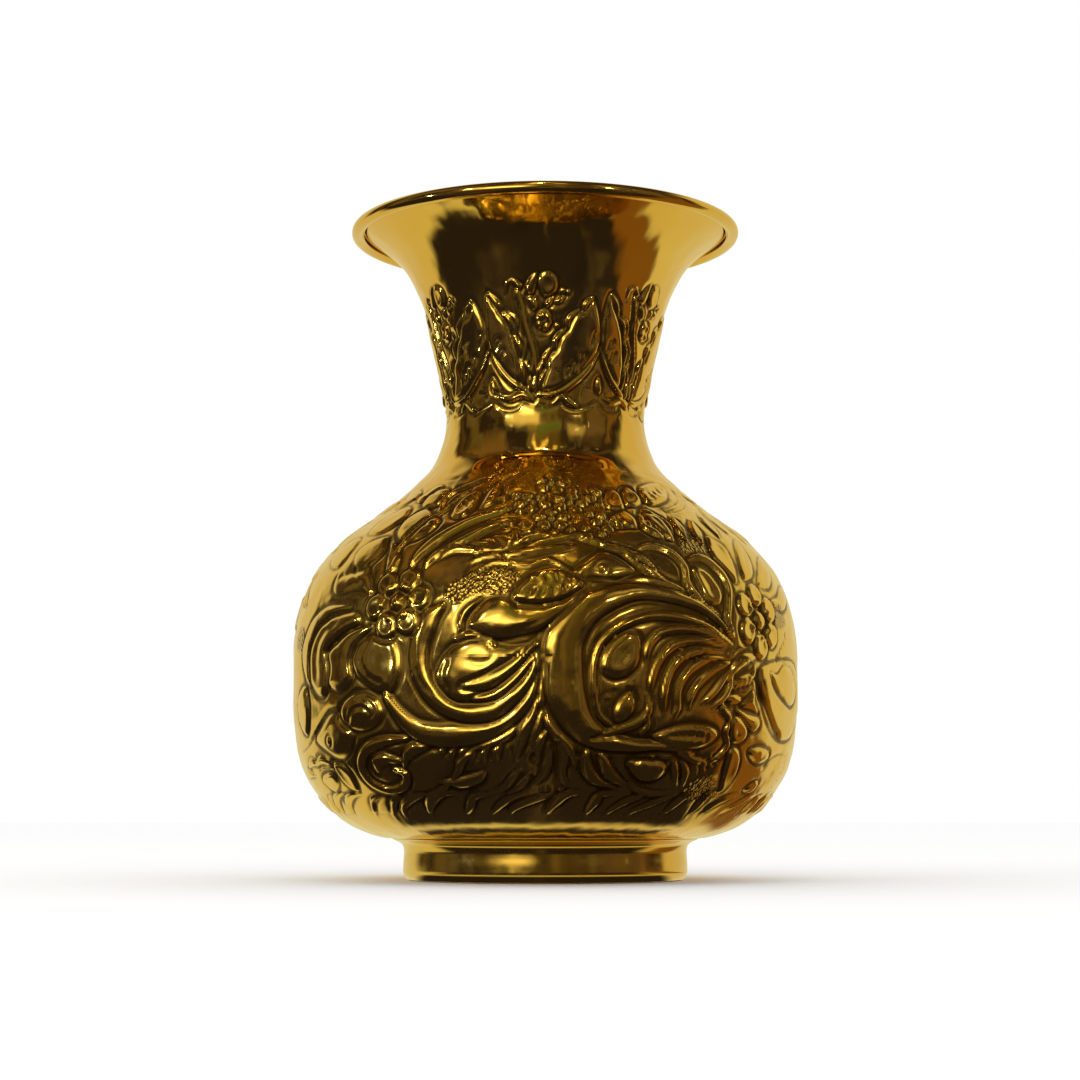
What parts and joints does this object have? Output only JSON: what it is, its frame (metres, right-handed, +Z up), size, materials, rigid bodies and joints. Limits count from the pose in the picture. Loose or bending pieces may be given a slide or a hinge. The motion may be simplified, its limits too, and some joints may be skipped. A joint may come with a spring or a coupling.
{
  "type": "brass pot",
  "caption": "Squat round brass pot with a trumpet neck, wired rim and ring foot, chased all over with flowers and scrolling leaves, for water or cut flowers.",
  "frame": {"origin": "centre of the foot's underside, where the pot stands", "axes": "+Z up the pot's axis of turning, out of the mouth; +X and +Y are level"},
  "size_m": [0.1932, 0.1932, 0.25],
  "materials": {
    "chased_brass": "chased and polished, darker in the worked ground",
    "polished_brass": "mirror polished with fine hand-buffing marks",
    "drawn_wire": "plain drawn wire",
    "braze": "filed and polished braze, a little paler than the sheet"
  },
  "bodies": {
    "root": {"belly": "chased_brass", "shoulder": "chased_brass", "neck": "polished_brass", "rim_wire": "drawn_wire", "foot_ring": "polished_brass", "belt_braze": "braze", "neck_braze": "braze", "foot_braze": "braze"}
  },
  "joints": []
}
